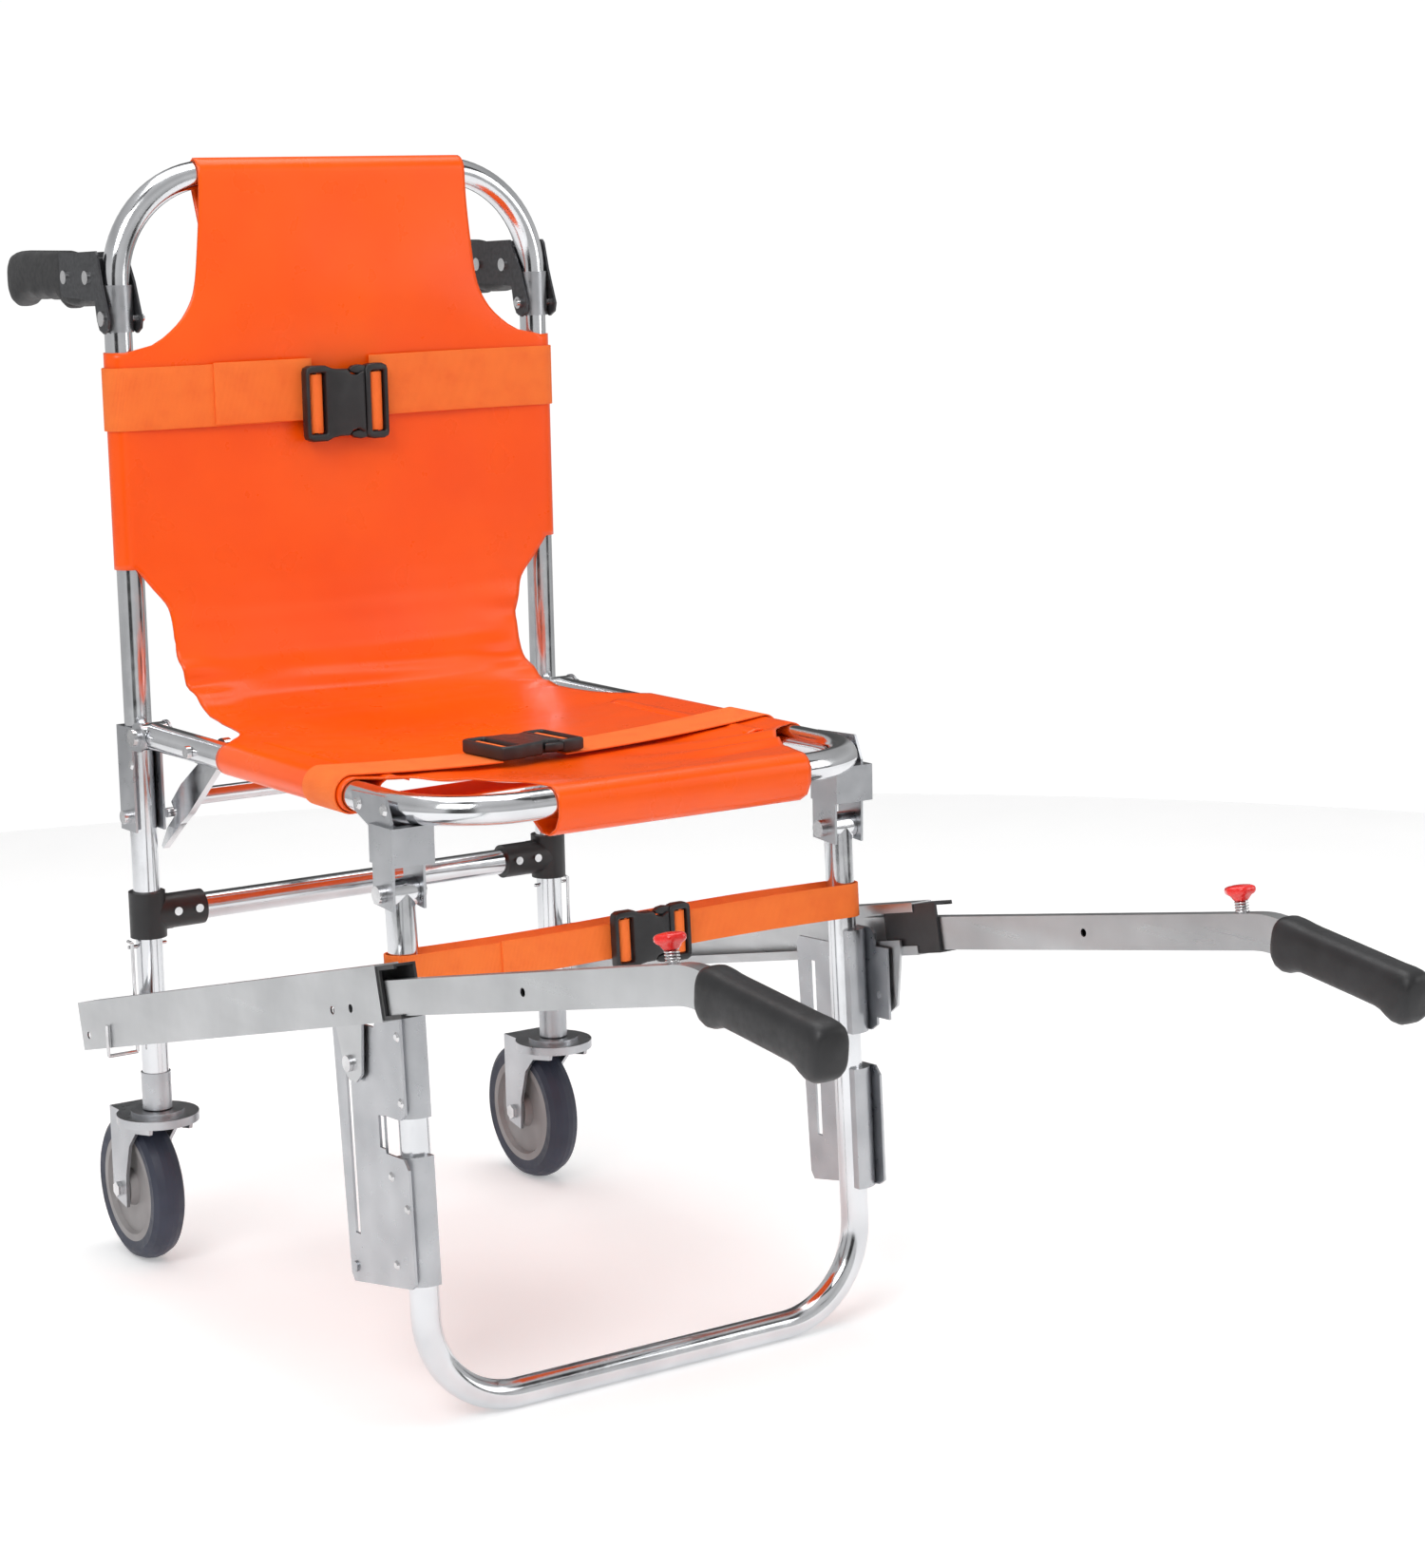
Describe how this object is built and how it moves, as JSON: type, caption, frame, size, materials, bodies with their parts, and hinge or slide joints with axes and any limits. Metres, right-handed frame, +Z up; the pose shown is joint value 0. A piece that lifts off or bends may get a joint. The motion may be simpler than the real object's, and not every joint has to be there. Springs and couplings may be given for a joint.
{
  "type": "stair chair",
  "caption": "Folding stair chair with a fabric sling seat on a tube frame, rear swivel casters, draw-out front carrying handles and fold-down rear handles.",
  "frame": {"origin": "middle of the object's footprint on the floor, at the handles' drawn-out length", "axes": "+Z up, the seat faces -Y, +X is the sitter's left-hand side"},
  "size_m": [0.472, 1.2194, 0.9118],
  "materials": {
    "polished_tube": "polished",
    "satin_aluminium": "satin",
    "zinc_steel": "zinc plated",
    "bright_steel": "bright",
    "dark_steel": "dark, fine grain",
    "black_plastic": "matt",
    "grip_rubber": "satin moulded",
    "tyre_rubber": "dark blue-grey",
    "hub_plastic": "matt",
    "orange_vinyl": "coated, glossy",
    "orange_webbing": "ribbed weave",
    "red_plastic": "gloss"
  },
  "bodies": {
    "base": {"back_frame": "polished_tube", "cross_bar": "polished_tube", "tee_l": "black_plastic", "tee_r": "black_plastic", "socket_l": "zinc_steel", "socket_r": "zinc_steel", "post_bracket_l": "zinc_steel", "post_bracket_r": "zinc_steel", "rear_clamp_l": "zinc_steel", "rear_clamp_r": "zinc_steel", "fasteners_back": "bright_steel", "back_sling": "orange_vinyl", "chest_strap": "orange_webbing", "chest_buckle": "black_plastic"},
    "chest_clip": {"chest_tongue": "black_plastic"},
    "seat": {"seat_frame": "polished_tube", "corner_bracket_l": "zinc_steel", "corner_bracket_r": "zinc_steel", "corner_block_l": "zinc_steel", "corner_block_r": "zinc_steel", "fasteners_seat": "bright_steel", "seat_sling": "orange_vinyl", "lap_strap": "orange_webbing", "lap_buckle": "black_plastic"},
    "lap_clip": {"lap_tongue": "black_plastic"},
    "release": {"release_bar": "polished_tube"},
    "leg": {"leg_frame": "polished_tube", "slot_plate_l": "zinc_steel", "slot_plate_r": "zinc_steel", "fasteners_leg": "bright_steel", "leg_strap": "orange_webbing", "leg_buckle": "black_plastic"},
    "leg_clip": {"leg_tongue": "black_plastic"},
    "fork_l": {"fork_l": "zinc_steel", "axle_l": "bright_steel"},
    "wheel_l": {"tyre_l": "tyre_rubber", "hub_l": "hub_plastic"},
    "rail_l": {"rail_l": "satin_aluminium", "guide_l": "black_plastic", "wire_clip_l": "bright_steel"},
    "handle_l": {"handle_tube_l": "satin_aluminium", "grip_l": "grip_rubber"},
    "knob_l": {"knob_l": "red_plastic"},
    "rear_l": {"rear_arm_l": "dark_steel", "arm_bolts_l": "bright_steel", "rear_grip_l": "grip_rubber"},
    "fork_r": {"fork_r": "zinc_steel", "axle_r": "bright_steel"},
    "wheel_r": {"tyre_r": "tyre_rubber", "hub_r": "hub_plastic"},
    "rail_r": {"rail_r": "satin_aluminium", "guide_r": "black_plastic", "wire_clip_r": "bright_steel"},
    "handle_r": {"handle_tube_r": "satin_aluminium", "grip_r": "grip_rubber"},
    "knob_r": {"knob_r": "red_plastic"},
    "rear_r": {"rear_arm_r": "dark_steel", "arm_bolts_r": "bright_steel", "rear_grip_r": "grip_rubber"}
  },
  "joints": [
    {"name": "seat_fold", "type": "hinge", "parent": "base", "child": "seat", "pos_m": [0, 0.38374, 0.454], "axis": [-1, 0, 0], "range_deg": [0, 84]},
    {"name": "release_swing", "type": "hinge", "parent": "seat", "child": "release", "pos_m": [0, 0.29074, 0.454], "axis": [-1, 0, 0], "range_deg": [0, 20], "stiffness_Nm_per_rad": 1.5, "springref_deg": -17.19},
    {"name": "leg_fold", "type": "hinge", "parent": "seat", "child": "leg", "pos_m": [0, -0.02426, 0.393], "axis": [1, 0, 0], "range_deg": [0, 84]},
    {"name": "chest_release", "type": "slide", "parent": "base", "child": "chest_clip", "axis": [1, 0, 0], "range_m": [0, 0.025]},
    {"name": "lap_release", "type": "slide", "parent": "seat", "child": "lap_clip", "axis": [0.997, 0.0779, 0], "range_m": [0, 0.025]},
    {"name": "leg_release", "type": "slide", "parent": "leg", "child": "leg_clip", "axis": [1, 0, 0], "range_m": [0, 0.025]},
    {"name": "swivel_l", "type": "hinge", "parent": "base", "child": "fork_l", "pos_m": [-0.192, 0.41074, 0.14], "axis": [0, 0, 1], "continuous": true},
    {"name": "wheel_spin_l", "type": "hinge", "parent": "fork_l", "child": "wheel_l", "pos_m": [-0.192, 0.45074, 0.0625], "axis": [1, 0, 0], "continuous": true},
    {"name": "rail_fold_l", "type": "hinge", "parent": "leg", "child": "rail_l", "pos_m": [-0.211, 0.02074, 0.26197], "axis": [-1, 0, 0], "range_deg": [0, 72]},
    {"name": "handle_slide_l", "type": "slide", "parent": "rail_l", "child": "handle_l", "axis": [0, 0.9776, -0.2105], "range_m": [0, 0.25]},
    {"name": "plunger_l", "type": "slide", "parent": "handle_l", "child": "knob_l", "axis": [0, 0.2105, 0.9776], "range_m": [0, 0.006], "stiffness_N_per_m": 1200, "springref_m": -0.003},
    {"name": "rear_fold_l", "type": "hinge", "parent": "base", "child": "rear_l", "pos_m": [-0.192, 0.40574, 0.787], "axis": [-1, 0, 0], "range_deg": [0, 75]},
    {"name": "swivel_r", "type": "hinge", "parent": "base", "child": "fork_r", "pos_m": [0.192, 0.41074, 0.14], "axis": [0, 0, 1], "continuous": true},
    {"name": "wheel_spin_r", "type": "hinge", "parent": "fork_r", "child": "wheel_r", "pos_m": [0.192, 0.45074, 0.0625], "axis": [1, 0, 0], "continuous": true},
    {"name": "rail_fold_r", "type": "hinge", "parent": "leg", "child": "rail_r", "pos_m": [0.211, -0.05514, 0.26244], "axis": [-1, 0, 0], "range_deg": [0, 72]},
    {"name": "handle_slide_r", "type": "slide", "parent": "rail_r", "child": "handle_r", "axis": [0, 0.9845, -0.1754], "range_m": [0, 0.25]},
    {"name": "plunger_r", "type": "slide", "parent": "handle_r", "child": "knob_r", "axis": [0, 0.1754, 0.9845], "range_m": [0, 0.006], "stiffness_N_per_m": 1200, "springref_m": -0.003},
    {"name": "rear_fold_r", "type": "hinge", "parent": "base", "child": "rear_r", "pos_m": [0.192, 0.40574, 0.787], "axis": [-1, 0, 0], "range_deg": [0, 75]}
  ],
  "couplings": [
    {"joint": "leg_fold", "follows": "seat_fold", "ratio": 1},
    {"joint": "rail_fold_l", "follows": "seat_fold", "ratio": 0.85714},
    {"joint": "rail_fold_r", "follows": "seat_fold", "ratio": 0.85714}
  ]
}
